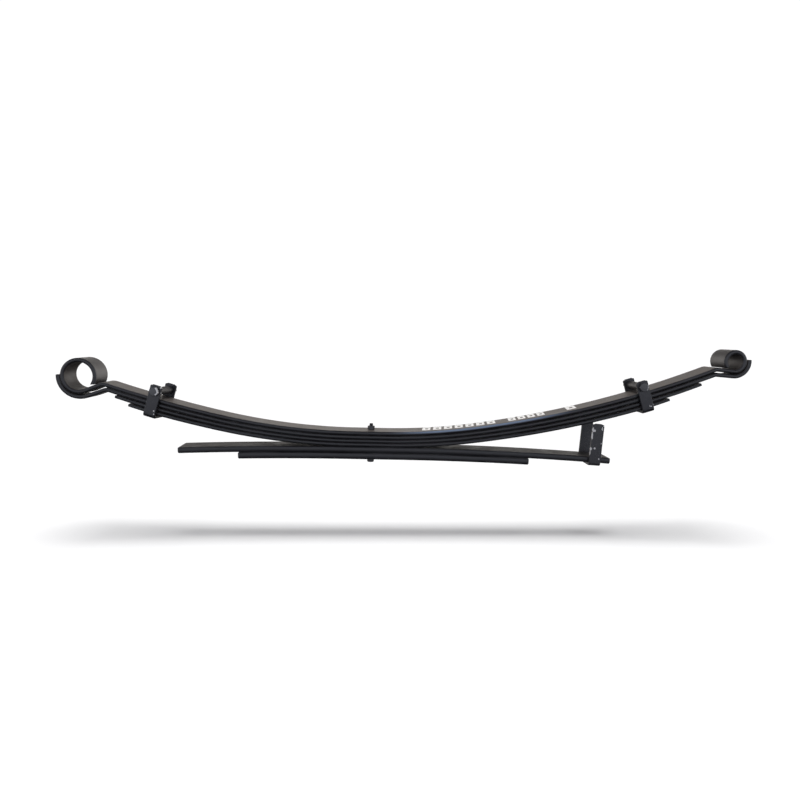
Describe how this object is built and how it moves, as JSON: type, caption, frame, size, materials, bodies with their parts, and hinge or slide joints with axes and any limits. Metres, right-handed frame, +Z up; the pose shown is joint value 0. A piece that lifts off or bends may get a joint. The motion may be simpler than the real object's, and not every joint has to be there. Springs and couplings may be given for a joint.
{
  "type": "leaf spring",
  "caption": "Cambered steel leaf spring with rolled end eyes, a wrapper leaf, bolted clips and straighter helper leaves on a shared centre bolt.",
  "frame": {"origin": "middle of the centre bolt head's bottom face", "axes": "+Z up, from the axle seat towards the main leaf; +X along the spring, from the large front eye to the small rear eye; +Y across the leaves"},
  "size_m": [1.3814, 0.0933, 0.2475],
  "materials": {
    "leaf_paint": "black satin paint over rolled spring steel, a little warm and rubbed on the upper faces",
    "fitting_paint": "black semi-gloss paint over bent strip, chipped at corners",
    "bolt_steel": "black coated fastener, glossier on its flats",
    "liner_plastic": "black nylon, matt"
  },
  "bodies": {
    "axle_seat": {"main_leaf": "leaf_paint", "wrapper_leaf": "leaf_paint", "third_leaf": "leaf_paint", "fourth_leaf": "leaf_paint", "upper_helper_leaf": "leaf_paint", "lower_helper_leaf": "leaf_paint", "centre_bolt": "bolt_steel", "centre_bolt_nut": "bolt_steel", "helper_guide_bracket": "fitting_paint", "helper_guide_rivet": "fitting_paint"},
    "front_arm": {"front_clip_strap": "fitting_paint", "front_clip_bolt": "bolt_steel", "front_clip_nut": "bolt_steel", "front_clip_sleeve": "fitting_paint", "front_clip_rivet": "fitting_paint", "front_third_tip_liner": "liner_plastic", "front_fourth_tip_liner": "liner_plastic"},
    "rear_arm": {"rear_clip_strap": "fitting_paint", "rear_clip_bolt": "bolt_steel", "rear_clip_nut": "bolt_steel", "rear_clip_sleeve": "fitting_paint", "rear_clip_rivet": "fitting_paint", "rear_third_tip_liner": "liner_plastic", "rear_fourth_tip_liner": "liner_plastic"}
  },
  "joints": [
    {"name": "front_arm_flex", "type": "hinge", "parent": "axle_seat", "child": "front_arm", "pos_m": [-0.13, 0, 0.054], "axis": [0, -1, 0], "range_deg": [0, 11], "stiffness_Nm_per_rad": 5200, "deforming": ["main_leaf", "wrapper_leaf", "third_leaf", "fourth_leaf"]},
    {"name": "rear_arm_flex", "type": "hinge", "parent": "axle_seat", "child": "rear_arm", "pos_m": [0.17, 0, 0.058], "axis": [0, 1, 0], "range_deg": [0, 13], "stiffness_Nm_per_rad": 7200, "deforming": ["main_leaf", "wrapper_leaf", "third_leaf", "fourth_leaf"]}
  ]
}
